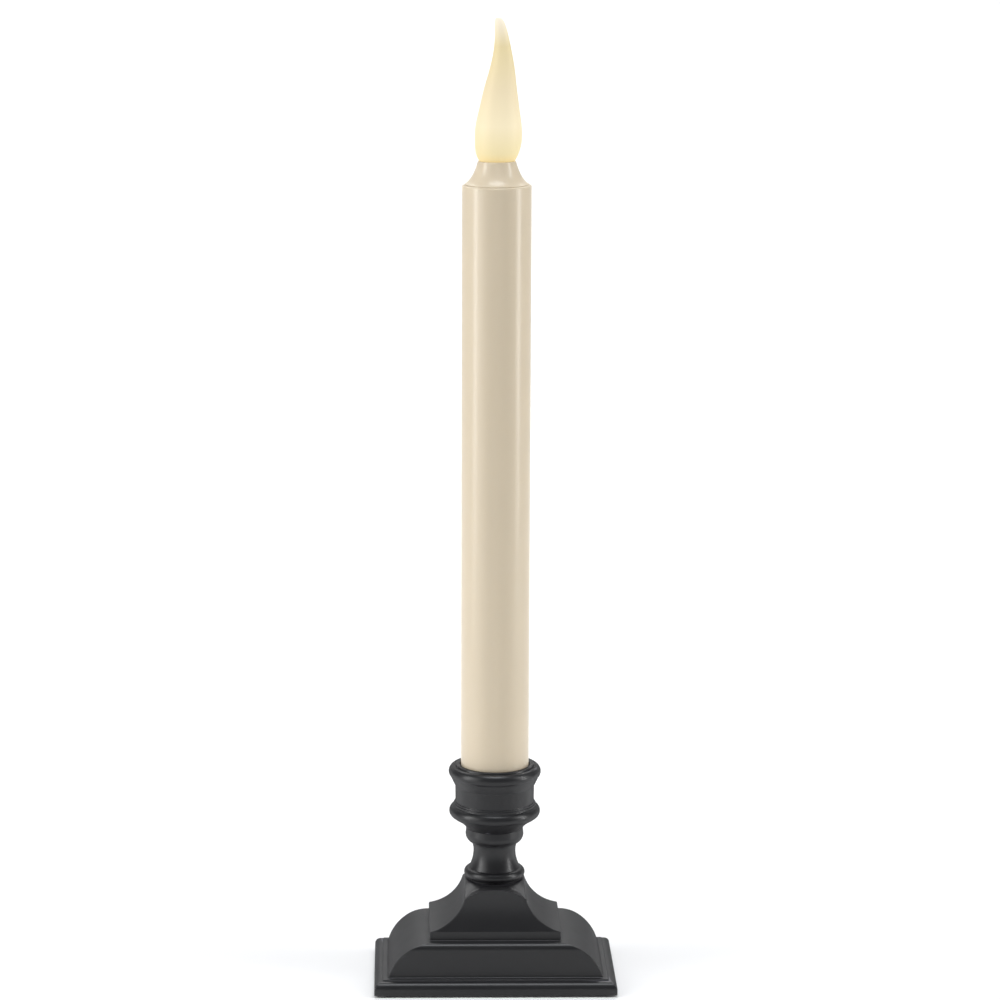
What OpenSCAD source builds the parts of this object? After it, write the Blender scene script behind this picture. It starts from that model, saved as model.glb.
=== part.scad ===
// Battery candle in a turned candlestick. Millimetres, +Z up, front towards -Y.
// The origin is on the resting plane, under the centre of the base.

/* [Base] */
// Width of the plinth
base_w = 76.2; // [72:0.1:90]
// Depth of the plinth
base_d = 47.1; // [45:0.1:60]
// How far the rubber feet stand below the shell
foot_proud = 0.6; // [0.3:0.1:1.5]
// Height of the plain band round the plinth
fascia_h = 1.75; // [1:0.05:3]
// Radius of the rounded moulding above that band
ovolo_r = 2.3; // [1.5:0.1:2.6]
// Radius of the rounded shoulders of the lower tier
shoulder_r = 14.85; // [14:0.05:15.5]
// Radius along the front and back top edges of the lower tier
tier_edge_r = 2.2; // [1:0.1:3]
// Half width of the upper tier
pedestal_half_w = 20.7; // [19:0.1:22]
// Half depth of the upper tier
pedestal_half_d = 15.4; // [14.5:0.1:16]
// Wall of the moulded shell
shell_wall = 1.8; // [1.5:0.1:2.2]

/* [Stem and cup] */
// Radius of the ring at the foot of the stem
stem_ring_r = 9.6; // [9:0.1:10]
// Smallest radius of the stem
waist_r = 6.65; // [6.2:0.05:7]
// Length of the stem between the seat and the cup
stem_h = 16.7; // [16:0.1:18]
// Radius of the collar under the cup
collar_r = 9.15; // [8.8:0.05:9.4]
// Height of the cup
cup_h = 20.75; // [20:0.05:24]
// Depth of the cup's bore
cup_depth = 17.25; // [15:0.05:17.5]
// Radius of the cup's bore
cup_bore_r = 11; // [10.95:0.05:11.2]

/* [Candle] */
// Radius of the candle
tube_r = 10.69; // [10.5:0.01:10.69]
// Inner radius of the candle's tube
tube_bore_r = 9.5; // [9.5:0.01:9.6]
// Height of the top of the tube above the candle's underside
tube_top = 200.2; // [198:0.1:240]
// Height of the shoulder cap above the tube
neck_h = 7.3; // [6.5:0.1:9]
// Radius of the neck under the flame
neck_r = 5.85; // [5.7:0.05:6.5]
// Depth of the flame as a share of its width
flame_flat = 0.9; // [0.7:0.05:1]
// Wall of the flame
flame_wall = 1.1; // [0.8:0.1:1.4]

/* [Batteries] */
// Radius of one cell
cell_r = 7.25; // [7:0.05:7.25]
// Length of one cell with its contact button
cell_l = 50.5; // [49.2:0.1:50.5]
// Length of the contact spring when loaded
spring_l = 5; // [4:0.1:7]
// Travel of the switch to each side
switch_travel = 2; // [1.5:0.1:2.2]

/* [Hidden] */
$fn = 64;
arc_steps = 14;
eps = 0.01;

// Clearances: parts that only assemble, parts that slide on each other, parts that pass
fit_gap = 0.05;
slide_gap = 0.08;
pass_gap = 0.3;

charcoal = "#333336";
ivory = "#ddd2bd";
natural = "#e8e6df";
steel = "#a9adb2";

// Shell, from its lower edge up
shell_z = foot_proud;
step_z = shell_z + fascia_h + ovolo_r;
step_h = 0.45;
step_inset = ovolo_r + 0.35;
tier_inset = 4.35;
tier_fillet = 0.5;
tier_z = step_z + step_h + tier_fillet;
shoulder_inset = 18.6;
shoulder_lift = 0.65;
shoulder_x = base_w / 2 - shoulder_inset;
shoulder_z = shell_z + shoulder_lift;
tier_top = shoulder_z + shoulder_r;

// Upper tier: side coves, shallower coves front and back, and a low dome with a seat on it
cove_r = 13.9;
cove_out = 2.5;
cove_rise = 16.5;
cove_x = pedestal_half_w + cove_out;
cove_z = tier_top + cove_rise;
cove_end = 196.5;
kink_x = cove_x + cove_r * cos(cove_end);
kink_z = cove_z + cove_r * sin(cove_end);
dome_h = 3.4;
dome_r = (kink_x * kink_x + dome_h * dome_h) / (2 * dome_h);
face_cove_r = 27;
face_cove_rise = 13;
face_cove_bite = 2;
face_cove_z = tier_top + face_cove_rise;
face_cove_y = face_cove_r + pedestal_half_d - face_cove_bite;
kink_y = face_cove_y - sqrt(face_cove_r * face_cove_r - pow(kink_z - face_cove_z, 2));
seat_h = 0.1;
seat_inset = 0.2;
seat_z = kink_z + dome_h + seat_h;
seat_r = stem_ring_r - seat_inset;

// Hollow of the shell and what closes it
cover_h = 2.2;
cover_recess = 0.2;
cover_z = shell_z + cover_recess;
cover_top = cover_z + cover_h;
rebate_wall = 1.8;
ledge_wall = 3.8;
ledge_h = 0.9;
roof_t = 4;
roof_z = seat_z - roof_t;
pedestal_wall = [2.4, 2.2];
pedestal_hollow_h = 0.9;
crown_half_x = 7.6;
crown_half_y = 11.3;
boss_r = 4;
boss_x = 26;
boss_inset = 10.25;
boss_y = base_d / 2 - boss_inset;
rib_x = 14;
rib_t = 1.2;
pad_r = 3.5;
pad_inset = [6.6, 6.35];
pad_x = base_w / 2 - pad_inset[0];
pad_y = base_d / 2 - pad_inset[1];
pad_sink = 0.4;

// Screws of the cover
screw_head_r = 2.2;
screw_head_h = 1;
screw_head_sink = 0.3;
screw_r = 1.1;
screw_l = 8;
screw_z = cover_z + screw_head_sink;
ballast_size = [40, 27, 9];

// Stem, cup and the bolt that clamps them to the shell
stem_top = seat_z + stem_h;
collar_top_r = collar_r - 0.2;
cup_top = stem_top + cup_h;
cup_floor = cup_top - cup_depth;
tenon_r = 5;
tenon_l = 3.6;
plug_r = 4;
plug_l = 3.8;
bolt_r = 2;
bolt_head_r = 3.6;
bolt_head_h = 2.4;
washer_r = 6.8;
washer_t = 1;
washer_z = roof_z - washer_t;
bolt_cover = 1.5;
bolt_end = cup_floor - bolt_cover;
drill_over = 0.4;

// Candle core, from the candle's underside up
rest_gap = 0.1;
candle_z = cup_floor + rest_gap;
flange_inset = 0.09;
flange_r = tube_r - flange_inset;
flange_h = 4;
cap_h = 10;
cap_bore_r = 8;
cap_floor = 2.4;
finger_recess = [11, 6, 1.2];
knob_size = [2.4, 1.8, 2.9];
knob_lift = 0.4;
knob_z = candle_z + knob_lift;
knob_slot = [knob_size[0] + 2 * (switch_travel + pass_gap), knob_size[1] + 2 * pass_gap];
switch_size = [11, 4, 3.4];
switch_z = candle_z + cap_floor;
pin_xs = [-3.5, 0, 3.5];
pin_size = [0.9, 0.5, 1.8];
pin_z = switch_z + switch_size[2];
holder_r = 9.1;
holder_bore_r = 7.5;
holder_z = candle_z + cap_h;
plate_t = 2;
spring_z = holder_z + plate_t;
strip_t = 0.4;
cell_z = spring_z + spring_l;
contact_z = cell_z + 2 * cell_l;
holder_roof_t = 3;
holder_top = contact_z + strip_t + holder_roof_t;
groove_w = 1.6;
groove_x = -8;
lead_r = 0.45;
lead_x = -8.55;

// Solder tabs of the contacts, and the slots that they pass through
tab_size = [0.5, 2];
spring_tab_x = 3.8;
spring_tab_l = 1.5;
top_tab_x = 3.9;
top_tab_l = 1.6;
tab_slot_x = 3.6;
tab_slot = [1.2, 2.6];

// Mast, board and lamp
mast_h = 192;
mast_disc_t = 2;
mast_y = 3.1;
mast_w = 6;
mast_d = 3;
mast_top = candle_z + mast_h;
guide_drop = 24;
mast_screw_at = [5.2, 3.8];
mast_screw_r = 0.8;
mast_screw_l = 2.6;
mast_screw_head_r = 1.5;
mast_screw_head_h = 0.9;
stake_r = 0.9;
stake_zs = [4, 28];
board_size = [13, 1.2, 32];
board_lift = 7;
board_z = holder_top + board_lift;
board_face = mast_y - board_size[1];
lamp_wire_y = board_face - lead_r;
lamp_wire_x = 2.2;
led_holder_r = 3.2;
led_holder_h = 11;
led_foot_r = 2;
lamp_z = mast_top + led_holder_h;
led_r = 2.5;
led_rim_r = 2.9;
led_rim_h = 1;
led_h = 8.6;
lead_pitch = 2.54;
led_pin_r = 0.28;
led_pin_l = 5;

// Sleeve
sleeve_z = candle_z + flange_h + rest_gap;
shoulder_top = cup_floor + tube_top;
neck_z = shoulder_top + neck_h;
spigot_l = 9;
flame_hole_r = 4.7;
flame_spigot_r = flame_hole_r - fit_gap;
flame_spigot_l = 9.3;
flame_bore_r = 3.6;

// Flame stations: height above the neck, half width, lean towards +X
flame_stations = [[0, 5.5, 0], [2.4, 6.6, 0.1], [6, 7.2, 0.38], [10.5, 7.1, 0.47],
                  [16, 6.15, 0.68], [22, 5.05, 1], [28, 3.85, 1.5], [33, 2.85, 1.6],
                  [38, 2.1, 1.3], [41.4, 1.65, 0.75], [43, 1.05, 0.4], [43.4, 0.5, 0.3]];
flame_steps = 3;
flame_sides = 28;

// ---- Outlines ----

// Points along an arc, from one angle to the other
function arc(c, r, from, to, steps = arc_steps) =
    [for (i = [0:steps]) let(a = from + (to - from) * i / steps) c + r * [cos(a), sin(a)]];

// Points along a curve that leaves p towards q and arrives at s from q
function curve(p, q, s, steps = arc_steps) =
    [for (i = [0:steps]) let(t = i / steps) (1 - t) * (1 - t) * p + 2 * t * (1 - t) * q + t * t * s];

// A half outline joined to its mirror image
function both_sides(half) =
    concat(half, [for (i = [len(half) - 1:-1:0]) [-half[i][0], half[i][1]]]);

// Solid that shows one outline from the front and the other from the side
module crossed(front, side) {
    intersection() {
        rotate([90, 0, 0]) linear_extrude(height = 2 * base_d, center = true) polygon(front);
        rotate([90, 0, 90]) linear_extrude(height = 2 * base_w, center = true) polygon(side);
    }
}

// A turned solid from [radius, height] points
module turned(points) {
    rotate_extrude() polygon(points);
}

// A box centred on the Z axis that stands at a height
module block(size, z) {
    translate([-size[0] / 2, -size[1] / 2, z]) cube(size);
}

// The same thing at the four corners of a rectangle
module at_corners(x, y, z) {
    for (sx = [-1, 1], sy = [-1, 1]) translate([sx * x, sy * y, z]) children();
}

// Two slots crossed for a screwdriver, each of this length, width and depth
module cross_slot(size) {
    for (a = [0, 90]) rotate([0, 0, a]) block(size, -eps);
}

// ---- Sweeps ----

function unit(v) = v / norm(v);

function heading(p, i) =
    unit(i == 0 ? p[1] - p[0] : i == len(p) - 1 ? p[i] - p[i - 1]
                                                : unit(p[i + 1] - p[i]) + unit(p[i] - p[i - 1]));

// One ring of points round each point of the route
function ring(c, dir, side, r, sides) =
    let(u = unit(cross(dir, side)), v = cross(dir, u))
    [for (k = [0:sides - 1]) c + r * cos(360 * k / sides) * u + r * sin(360 * k / sides) * v];

// Triangles and end faces that close a stack of rings
function skin(rings, sides) =
    concat([[for (k = [0:sides - 1]) k]],
           [for (i = [0:rings - 2], k = [0:sides - 1])
                let(a = i * sides + k, b = i * sides + (k + 1) % sides) [a, a + sides, b]],
           [for (i = [0:rings - 2], k = [0:sides - 1])
                let(a = i * sides + k, b = i * sides + (k + 1) % sides) [b, a + sides, b + sides]],
           [[for (k = [sides - 1:-1:0]) (rings - 1) * sides + k]]);

// A round wire along a route
module wire(route, r, sides = 8, side = [0, 1, 0]) {
    rings = [for (i = [0:len(route) - 1]) each ring(route[i], heading(route, i), side, r, sides)];
    polyhedron(points = rings, faces = skin(len(route), sides), convexity = 6);
}

// ---- Base shell ----

// Moulding of the plinth on a block of this half width
function plinth_half(half) =
    concat([[half, shell_z]],
           arc([half - ovolo_r, shell_z + fascia_h], ovolo_r, 0, 90),
           [[half - step_inset, step_z], [half - step_inset, step_z + step_h]],
           arc([half - tier_inset + tier_fillet, tier_z], tier_fillet, 270, 180, 5));

function tier_front() =
    let(from = asin((tier_z - eps - shoulder_z) / shoulder_r))
    arc([shoulder_x, shoulder_z], shoulder_r, from, 90, 2 * arc_steps);

function tier_side() =
    let(half = base_d / 2 - tier_inset)
    concat([[half, tier_z - eps]],
           arc([half - tier_edge_r, tier_top - tier_edge_r], tier_edge_r, 0, 90));

function pedestal_front() =
    let(from = 180 + acos((cove_x - pedestal_half_w) / cove_r),
        to = 180 - asin((seat_z - cove_z) / cove_r),
        last = arc([cove_x, cove_z], cove_r, cove_end, to, 3))
    concat([[pedestal_half_w, tier_top - eps]],
           arc([cove_x, cove_z], cove_r, from, cove_end, 2 * arc_steps),
           [for (i = [1:len(last) - 1]) last[i]]);

function pedestal_side() =
    let(from = 180 + acos((face_cove_y - pedestal_half_d) / face_cove_r),
        to = 180 - asin((seat_z - face_cove_z) / face_cove_r))
    concat([[pedestal_half_d, tier_top - eps]],
           arc([face_cove_y, face_cove_z], face_cove_r, from, to));

// What tops the upper tier: a low barrel from front to back, and spandrels up to the round seat
module crown() {
    corner_r = norm([kink_x, kink_y]);
    barrel = concat([[base_w, 0], [base_w, kink_z]],
                    arc([0, kink_z + dome_h - dome_r], dome_r, acos(kink_x / dome_r), 90));
    rotate([90, 0, 0]) linear_extrude(height = 2 * base_d, center = true) polygon(both_sides(barrel));
    turned([[0, tier_top], [corner_r, tier_top], [corner_r, kink_z], [seat_r, seat_z], [0, seat_z]]);
}

module shell_outside() {
    crossed(both_sides(plinth_half(base_w / 2)), both_sides(plinth_half(base_d / 2)));
    crossed(both_sides(tier_front()), both_sides(tier_side()));
    intersection() {
        crossed(both_sides(pedestal_front()), both_sides(pedestal_side()));
        crown();
    }
}

module shell_hollow() {
    inner_r = shoulder_r - shell_wall;
    inner_top = shoulder_z + inner_r;
    inner_half_d = base_d / 2 - tier_inset - shell_wall;
    block([base_w - 2 * rebate_wall, base_d - 2 * rebate_wall, cover_top], 0);
    block([base_w - 2 * ledge_wall, base_d - 2 * ledge_wall, cover_top + ledge_h], 0);
    crossed(both_sides(concat([[shoulder_x + inner_r, 0]],
                              arc([shoulder_x, shoulder_z], inner_r, 0, 90))),
            both_sides([[inner_half_d, 0], [inner_half_d, inner_top]]));
    block([2 * (pedestal_half_w - pedestal_wall[0]), 2 * (pedestal_half_d - pedestal_wall[1]),
           tier_top + pedestal_hollow_h], 0);
    block([2 * crown_half_x, 2 * crown_half_y, roof_z], 0);
}

module base_shell() {
    color(charcoal) difference() {
        shell_outside();
        difference() {
            shell_hollow();
            at_corners(boss_x, boss_y, cover_top) cylinder(r = boss_r, h = tier_top);
            for (s = [-1, 1])
                translate([s * rib_x - rib_t / 2, -base_d / 2, cover_top + ballast_size[2]])
                    cube([rib_t, base_d, tier_top - cover_top - ballast_size[2] - eps]);
        }
        at_corners(boss_x, boss_y, cover_top - eps) cylinder(r = screw_r, h = screw_l);
        translate([0, 0, roof_z - eps]) cylinder(r = tenon_r + fit_gap, h = seat_z);
    }
}

// ---- Stem, cup and bolt ----

module stem() {
    ring_edge_r = 1.6;
    ring_h = 1.9;
    ring_from = -60;
    neck_r = stem_ring_r - ring_edge_r * (1 - cos(ring_from));
    waist_z = seat_z + 9.2;
    lower_r = 12;
    lower_from = 207.6;
    upper_r = 6.5;
    upper_to = 157;
    collar_edge_r = 2.95;
    collar_drop = 2.1;
    outline = concat([[0, seat_z - tenon_l], [tenon_r, seat_z - tenon_l], [tenon_r, seat_z],
                      [neck_r, seat_z]],
                     arc([stem_ring_r - ring_edge_r, seat_z + ring_h], ring_edge_r, ring_from, 90),
                     arc([waist_r + lower_r, waist_z], lower_r, lower_from, 180),
                     arc([waist_r + upper_r, waist_z], upper_r, 179, upper_to),
                     arc([collar_r - collar_edge_r, stem_top - collar_drop], collar_edge_r, -70, 0, 8),
                     [[collar_top_r, stem_top], [0, stem_top]]);
    color(charcoal) difference() {
        turned(outline);
        translate([0, 0, seat_z - stem_h]) cylinder(r = bolt_r + pass_gap, h = 3 * stem_h);
        translate([0, 0, stem_top - plug_l - pass_gap]) cylinder(r = plug_r + fit_gap, h = stem_h);
    }
}

module candle_cup() {
    ring_r = 2;
    low_ring = [12.35, stem_top + 5.4];
    step_rs = [13, 12.65];
    step_t = 0.6;
    band_z = stem_top + 9.1;
    band_r = 12.38;
    bead_r = 2.08;
    bead = [12.45, cup_top - 2.45];
    lip_r = 12.3;
    lip_h = 0.7;
    outline = concat([[0, stem_top - plug_l], [plug_r, stem_top - plug_l], [plug_r, stem_top]],
                     curve([collar_top_r, stem_top], [collar_top_r + 1, stem_top + 1.7],
                           [low_ring[0] + 0.5, stem_top + 3.3], 8),
                     arc(low_ring, ring_r, -70, 66),
                     [[step_rs[0], band_z - 0.5 - 2 * step_t], [step_rs[0], band_z - 0.5 - step_t],
                      [step_rs[1], band_z - 0.5 - step_t], [step_rs[1], band_z - 0.5],
                      [band_r, band_z - 0.5]],
                     curve([band_r + 0.08, band_z + 4.7], [band_r + 0.8, band_z + 6],
                           [bead[0] + 1.45, bead[1] - 1.5], 8),
                     arc(bead, bead_r, -40, 72),
                     [[lip_r + 0.45, cup_top - lip_h], [lip_r + 0.1, cup_top - lip_h],
                      [lip_r, cup_top], [0, cup_top]]);
    color(charcoal) difference() {
        turned(outline);
        translate([0, 0, cup_floor]) cylinder(r = cup_bore_r, h = cup_h);
        translate([0, 0, seat_z]) cylinder(r = bolt_r + eps, h = bolt_end + drill_over - seat_z);
    }
}

module through_bolt() {
    slot = [4, 0.9, 1.4];
    color(steel) difference() {
        union() {
            translate([0, 0, washer_z - bolt_head_h]) cylinder(r = bolt_head_r, h = bolt_head_h);
            translate([0, 0, washer_z - eps]) cylinder(r = bolt_r, h = bolt_end - washer_z + eps);
        }
        translate([0, 0, washer_z - bolt_head_h]) cross_slot(slot);
    }
}

module bolt_washer() {
    color(steel) translate([0, 0, washer_z]) difference() {
        cylinder(r = washer_r, h = washer_t);
        translate([0, 0, -eps]) cylinder(r = bolt_r + pass_gap, h = 2 * washer_t);
    }
}

// ---- Underside ----

module ballast_weight() {
    color("#5b5753") block(ballast_size, cover_top);
}

module bottom_cover() {
    play = 0.2;
    color("#27272a") difference() {
        block([base_w - 2 * (rebate_wall + play), base_d - 2 * (rebate_wall + play), cover_h], cover_z);
        at_corners(pad_x, pad_y, 0) cylinder(r = pad_r + fit_gap, h = cover_z + pad_sink);
        at_corners(boss_x, boss_y, 0) {
            cylinder(r = screw_head_r + play, h = screw_z + screw_head_h);
            cylinder(r = screw_r + play, h = 2 * cover_top);
        }
    }
}

module cover_screws() {
    slot = [2.6, 0.6, 0.7];
    color(steel) at_corners(boss_x, boss_y, screw_z) difference() {
        union() {
            cylinder(r = screw_head_r, h = screw_head_h);
            cylinder(r = screw_r - eps, h = screw_l);
        }
        cross_slot(slot);
    }
}

module rubber_feet() {
    color("#1d1d1f") at_corners(pad_x, pad_y, 0) cylinder(r = pad_r, h = cover_z + pad_sink);
}

// ---- Cap and switch ----

module bottom_cap() {
    color(ivory) difference() {
        union() {
            translate([0, 0, candle_z]) cylinder(r = flange_r, h = flange_h);
            translate([0, 0, candle_z]) cylinder(r = tube_bore_r - slide_gap, h = cap_h);
        }
        translate([0, 0, switch_z]) cylinder(r = cap_bore_r, h = cap_h);
        block([knob_slot[0], knob_slot[1], cap_h], candle_z - 1);
        block([finger_recess[0], finger_recess[1], finger_recess[2] + 1], candle_z - 1);
    }
}

module switch_body() {
    color("#24272b") difference() {
        block(switch_size, switch_z);
        block([knob_slot[0], knob_slot[1], knob_size[2] + pass_gap], knob_z);
    }
}

module switch_terminals() {
    color(steel) for (x = pin_xs) translate([x, 0, 0]) block(pin_size, pin_z);
}

module switch_knob() {
    color("#f4f2ec") block(knob_size, knob_z);
}

// ---- Battery holder, contacts and cells ----

// A box that stands on a height, beside the Z axis and centred on the X axis
module side_block(x, size, z, h) {
    translate([x, -size[1] / 2, z]) cube([size[0], size[1], h]);
}

// The same thing at both screws of the mast
module at_mast_screws() {
    for (s = [-1, 1]) translate([s * mast_screw_at[0], s * mast_screw_at[1], holder_top]) children();
}

module battery_holder() {
    lip_x = 1.5;
    ring_wall = 1;
    lead_way = 3.7;
    cell_room = contact_z + strip_t - spring_z;
    color(natural) difference() {
        union() {
            translate([0, 0, holder_z]) cylinder(r = holder_r, h = holder_top - holder_z);
            translate([0, 0, holder_z - plate_t]) cylinder(r = cap_bore_r - fit_gap, h = plate_t + eps);
        }
        translate([0, 0, holder_z - 2 * plate_t]) cylinder(r = cap_bore_r - ring_wall, h = 2 * plate_t);
        translate([0, 0, spring_z]) cylinder(r = holder_bore_r, h = cell_room);
        side_block(lip_x, [holder_r, 3 * holder_r], spring_z, cell_room);
        side_block(groove_x - holder_r, [holder_r, groove_w], holder_z - 2 * plate_t, holder_top);
        side_block(-holder_r - 1, [lead_way, groove_w], holder_z - 2 * plate_t, 3 * plate_t);
        side_block(tab_slot_x, tab_slot, holder_z - plate_t, 2 * plate_t + eps);
        side_block(tab_slot_x, tab_slot, contact_z, holder_top);
        at_mast_screws() translate([0, 0, -mast_screw_l - fit_gap])
            cylinder(r = mast_screw_r + eps, h = 2 * mast_screw_l);
    }
}

module spring_plate() {
    tab_z = holder_z - spring_tab_l;
    color(steel) {
        block([11, 9, strip_t], spring_z);
        side_block(spring_tab_x, tab_size, tab_z, spring_z - tab_z + eps);
    }
}

module contact_spring() {
    turns = 4;
    per_turn = 12;
    wire_r = 0.4;
    top_r = 2.8;
    foot_r = 4.6;
    foot_z = spring_z + strip_t + wire_r;
    rise = cell_z - wire_r - foot_z;
    coil = [for (i = [0:turns * per_turn])
                let(t = i / (turns * per_turn), a = 360 * turns * t, r = foot_r + (top_r - foot_r) * t)
                [r * cos(a), r * sin(a), foot_z + rise * t]];
    color(steel) wire(coil, wire_r, 6, [0, 0, 1]);
}

module cell() {
    button_r = 2.75;
    button_h = 1.2;
    crimp_r = 0.6;
    button_edge_r = 0.4;
    dish_r = 4.5;
    dish_h = 0.3;
    color("#4c6a8f")
        turned(concat([[0, dish_h], [dish_r, dish_h], [dish_r, 0]],
                      arc([cell_r - crimp_r, crimp_r], crimp_r, -90, 0, 4),
                      arc([cell_r - crimp_r, cell_l - button_h - crimp_r], crimp_r, 0, 90, 4),
                      [[button_r, cell_l - button_h]],
                      arc([button_r - button_edge_r, cell_l - button_edge_r], button_edge_r, 0, 90, 4),
                      [[0, cell_l]]));
}

module battery_lower() {
    translate([0, 0, cell_z]) cell();
}

module battery_upper() {
    translate([0, 0, cell_z + cell_l]) cell();
}

module positive_contact() {
    color(steel) {
        block([10, 8, strip_t], contact_z);
        side_block(top_tab_x, tab_size, contact_z, holder_top + top_tab_l - contact_z);
    }
}

// ---- Mast, board and lamp ----

// Pegs on the mast's face that the board is staked on, or the holes for them
module stakes(r, from_y, l) {
    for (z = stake_zs) translate([0, from_y, board_z + z]) rotate([90, 0, 0]) cylinder(r = r, h = l);
}

module lamp_mast() {
    guide_z = mast_top - guide_drop;
    top_disc_r = 6;
    window_r = 6.6;
    window_gap = 0.6;
    stake_l = board_size[1] + 0.6;
    cut = 2 * mast_disc_t;
    color(natural) difference() {
        union() {
            translate([0, 0, holder_top]) cylinder(r = holder_r, h = mast_disc_t);
            translate([-mast_w / 2, mast_y, holder_top]) cube([mast_w, mast_d, mast_top - holder_top]);
            translate([0, 0, guide_z]) cylinder(r = holder_r, h = mast_disc_t);
            translate([0, 0, mast_top - mast_disc_t]) cylinder(r = top_disc_r, h = mast_disc_t);
            stakes(stake_r, mast_y + eps, stake_l);
        }
        side_block(tab_slot_x, tab_slot, holder_top - 1, cut);
        side_block(groove_x - holder_r, [holder_r + 2, groove_w], holder_top - 1, cut);
        at_mast_screws() translate([0, 0, -1]) cylinder(r = mast_screw_r + 3 * fit_gap, h = cut);
        translate([0, 0, guide_z - 1]) intersection() {
            cylinder(r = window_r, h = cut);
            translate([-holder_r, mast_y - window_gap - 2 * holder_r, 0])
                cube([2 * holder_r, 2 * holder_r, cut]);
        }
        translate([0, 0, mast_top - cut + 1]) cylinder(r = led_foot_r + fit_gap, h = cut);
    }
}

module mast_screws() {
    slot = [1.8, 0.4, mast_screw_head_h];
    color(steel) at_mast_screws() difference() {
        union() {
            translate([0, 0, -mast_screw_l])
                cylinder(r = mast_screw_r, h = mast_screw_l + mast_disc_t + eps);
            translate([0, 0, mast_disc_t]) cylinder(r = mast_screw_head_r, h = mast_screw_head_h);
        }
        translate([0, 0, mast_disc_t + mast_screw_head_h / 2]) cross_slot(slot);
    }
}

module driver_board() {
    color("#2f6b45") difference() {
        translate([-board_size[0] / 2, board_face, board_z]) cube(board_size);
        stakes(stake_r + fit_gap, mast_y + 1, 2 * board_size[1] + 1);
    }
}

// A small part on the board's face: its size, its left edge, and how far up the board it sits
module on_board(size, x, z) {
    translate([x, board_face - size[1], board_z + z]) cube(size);
}

module timer_chip() {
    body = [4, 1.4, 5];
    standoff = 0.2;
    leg = [1.2, 0.6, 0.4];
    leg_x = 2.4;
    leg_pitch = 1.27;
    chip_z = 13;
    legs_z = chip_z + (body[2] - 3 * leg_pitch - leg[2]) / 2;
    color("#232325") {
        translate([0, -standoff, 0]) on_board(body, -body[0] / 2, chip_z);
        for (s = [-1, 1], i = [0:3]) on_board(leg, s * leg_x - leg[0] / 2, legs_z + i * leg_pitch);
    }
}

module crystal_can() {
    can_r = 1;
    color(steel) translate([4.6, board_face - can_r - fit_gap, board_z + 12]) cylinder(r = can_r, h = 6);
}

module board_capacitor() {
    can_r = 2;
    color("#3a4a6b") translate([-4, board_face - can_r - fit_gap, board_z + 21]) cylinder(r = can_r, h = 7);
}

module board_resistors() {
    color("#1f1f22") for (z = [21, 24.5]) on_board([3.2, 0.6, 1.6], 2.2, z);
}

module led_holder() {
    foot_l = 1.8;
    color("#2a2a2c") difference() {
        union() {
            translate([0, 0, mast_top - foot_l]) cylinder(r = led_foot_r, h = foot_l + 1);
            translate([0, 0, mast_top]) cylinder(r = led_holder_r, h = led_holder_h);
        }
        for (s = [-1, 1]) translate([s * lead_pitch / 2, 0, mast_top - led_holder_h])
            cylinder(r = led_pin_r + 2 * fit_gap, h = 3 * led_holder_h);
    }
}

module led_lamp() {
    color("#fff0c8") turned(concat([[0, lamp_z], [led_rim_r, lamp_z], [led_rim_r, lamp_z + led_rim_h],
                                    [led_r, lamp_z + led_rim_h]],
                                   arc([0, lamp_z + led_h - led_r], led_r, 0, 90)));
}

module led_leads() {
    color(steel) for (s = [-1, 1])
        translate([s * lead_pitch / 2, 0, mast_top - led_pin_l])
            cylinder(r = led_pin_r, h = led_holder_h + led_pin_l);
}

// ---- Leads ----

// Routes run through the middle of each lead, with their points placed by hand
pin_side_x = pin_xs[2] + pin_size[0] / 2 + lead_r;
tab_side_x = spring_tab_x + tab_size[0] + lead_r;
spring_route = [[tab_side_x, 0, holder_z - 0.4], [tab_side_x, 0, holder_z - 1.3],
                [4.6, 0, holder_z - 2.1], [pin_side_x, 0, holder_z - 2.9],
                [pin_side_x, 0, holder_z - 3.7]];
over_pin_z = pin_z + pin_size[2] + lead_r;
black_route = [[pin_xs[0], 0, over_pin_z], [-5.6, 0, over_pin_z],
               [-7, 0, holder_z - 0.6], [-7.4, 0, holder_z + 0.3], [lead_x, 0, holder_z + 2.2],
               [lead_x, 0, holder_top - 1], [lead_x, 0, holder_top + 2.6],
               [-7, 0.4, holder_top + 5], [-4.4, lamp_wire_y, board_z + 3],
               [-4.4, lamp_wire_y, board_z + 6]];
red_route = [[4.15, 0, holder_top + top_tab_l + lead_r], [4.3, 0.2, holder_top + 3.6],
             [4.4, lamp_wire_y, board_z + 2.5], [4.4, lamp_wire_y, board_z + 6]];

function lamp_route(s) =
    [[s * lead_pitch / 2, 0, mast_top - led_pin_l], [s * lead_pitch / 2, 0, mast_top - 9],
     [s * lamp_wire_x, lamp_wire_y, mast_top - guide_drop], [s * lamp_wire_x, lamp_wire_y, board_z + 30],
     [s * lamp_wire_x, lamp_wire_y, board_z + 28.5]];

module spring_lead() {
    color("#26262a") wire(spring_route, lead_r);
}

module battery_lead_black() {
    color("#26262a") wire(black_route, lead_r);
}

module battery_lead_red() {
    color("#b3261e") wire(red_route, lead_r);
}

module lamp_lead_red() {
    color("#b3261e") wire(lamp_route(1), lead_r);
}

module lamp_lead_black() {
    color("#26262a") wire(lamp_route(-1), lead_r);
}

// ---- Sleeve: tube, shoulder cap, retainer and flame ----

module candle_tube() {
    rim_r = 0.55;
    color(ivory) turned(concat([[tube_bore_r, sleeve_z], [tube_r, sleeve_z]],
                               arc([tube_r - rim_r, shoulder_top - rim_r], rim_r, 0, 90, 8),
                               [[tube_bore_r, shoulder_top]]));
}

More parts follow.
